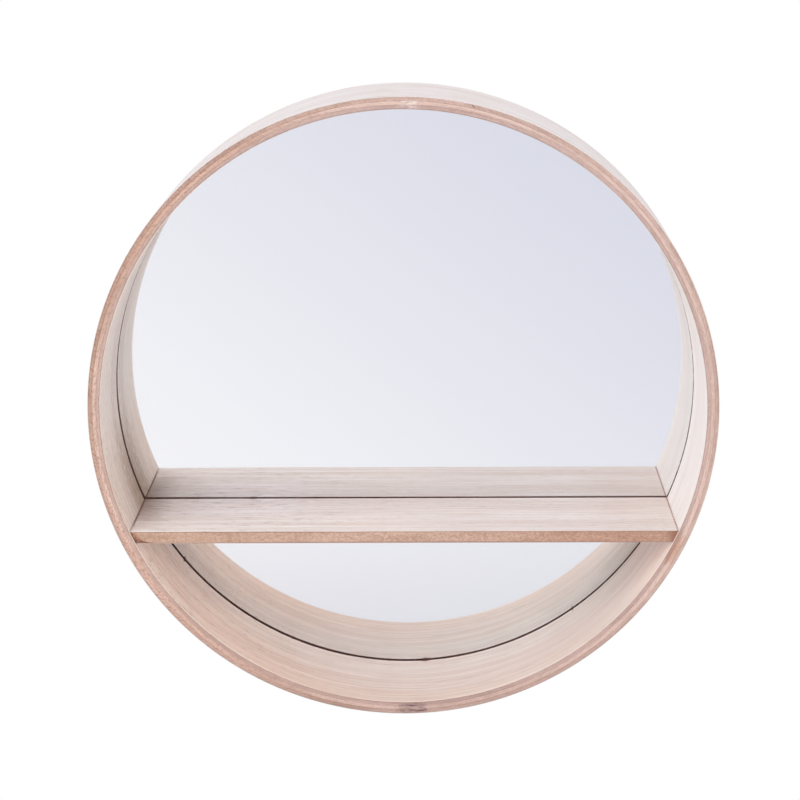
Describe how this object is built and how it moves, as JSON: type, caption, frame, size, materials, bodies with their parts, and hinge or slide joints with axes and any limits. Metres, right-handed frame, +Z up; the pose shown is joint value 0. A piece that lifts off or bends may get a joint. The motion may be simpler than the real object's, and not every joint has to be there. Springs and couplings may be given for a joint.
{
  "type": "wall mirror with shelf",
  "caption": "Round wall mirror set deep in a bent plywood hoop, with a straight shelf across its lower half; hangs by keyholes.",
  "frame": {"origin": "midway between the two wall keyholes, at the centres of their round entries, on the plane of the wall", "axes": "+X to the right seen from the front, +Y into the wall, +Z up; the mirror faces -Y"},
  "size_m": [0.6, 0.14, 0.6],
  "materials": {
    "veneer": "pale straight-grained veneer, matt",
    "raw_edge_board": "bent fibreboard with raw sanded edges",
    "shelf_board": "fibreboard with a raw sanded front edge",
    "beech": "turned beech",
    "clear_glass": "polished float glass",
    "silver": "silvered, painted at the back",
    "foam_tape": "white closed-cell foam",
    "hardboard": "brown fibreboard, smooth",
    "spruce": "planed softwood",
    "zinc_steel": "zinc-plated sheet"
  },
  "bodies": {
    "root": {"hoop_outer_veneer": "veneer", "hoop_inner_veneer": "veneer", "shelf_top_veneer": "veneer", "shelf_bottom_veneer": "veneer", "hoop_outer_ply": "raw_edge_board", "hoop_middle_ply": "raw_edge_board", "hoop_inner_ply": "raw_edge_board", "shelf_core": "shelf_board", "shelf_dowels_left": "beech", "shelf_dowels_right": "beech", "mirror_glass": "clear_glass", "mirror_silvering": "silver", "mirror_tape": "foam_tape", "back_board": "hardboard", "retaining_points": "zinc_steel", "hanging_block_left": "spruce", "hanging_block_right": "spruce", "hanger_plate_left": "zinc_steel", "hanger_plate_right": "zinc_steel", "hanger_screws_left": "zinc_steel", "hanger_screws_right": "zinc_steel"}
  },
  "joints": []
}
